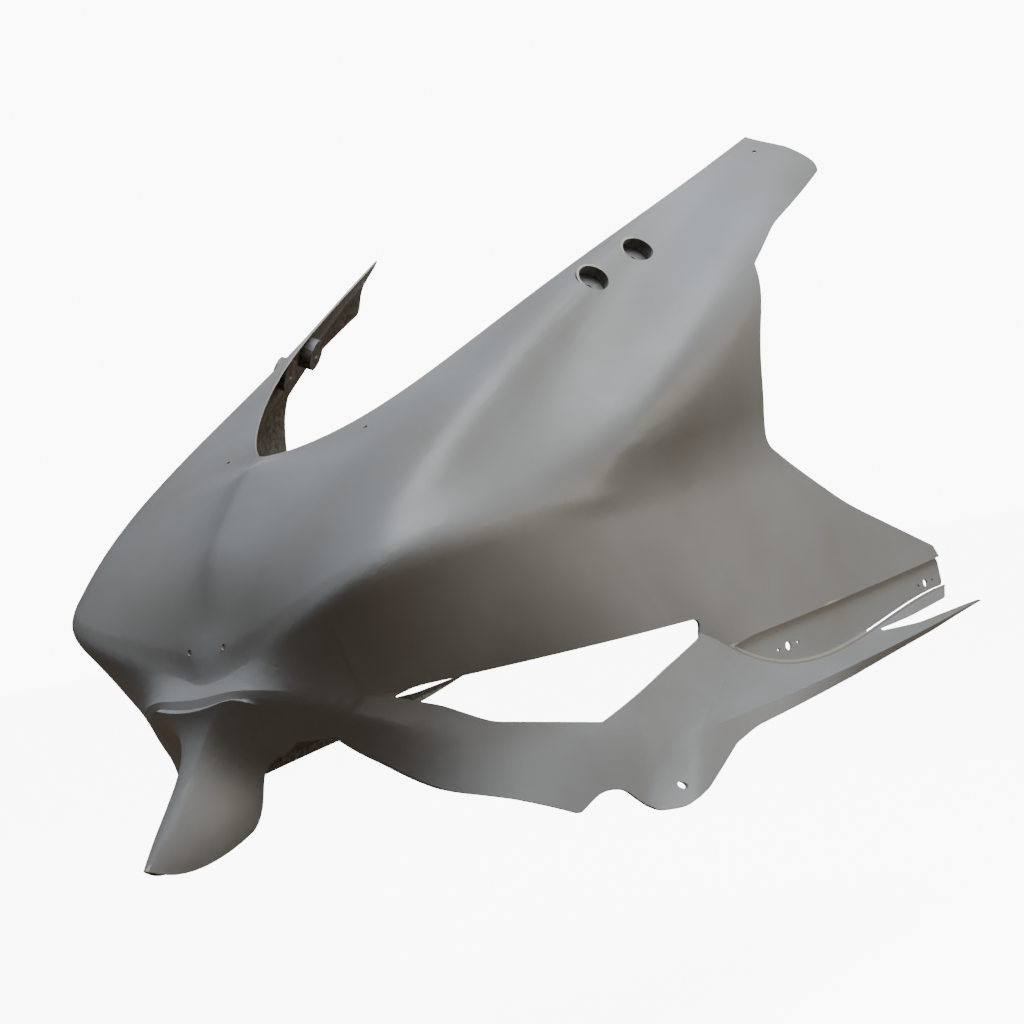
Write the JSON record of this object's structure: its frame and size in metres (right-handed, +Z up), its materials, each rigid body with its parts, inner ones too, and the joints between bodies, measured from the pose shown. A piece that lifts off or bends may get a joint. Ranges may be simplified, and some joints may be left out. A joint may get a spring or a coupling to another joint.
{
  "type": "motorcycle fairing",
  "caption": "One-piece moulded upper race fairing with a pointed nose, windscreen cut-out, side slots, lower beak and joggled fastener flanges.",
  "frame": {"origin": "midway between the two nose stay holes, on the outer surface beside the nose ridge", "axes": "+X to the rider's left, +Y to the back of the motorcycle, +Z up"},
  "size_m": [0.7046, 0.8841, 0.6083],
  "materials": {
    "laminate": "satin"
  },
  "bodies": {
    "root": {"upper_fairing": "laminate"}
  },
  "joints": []
}
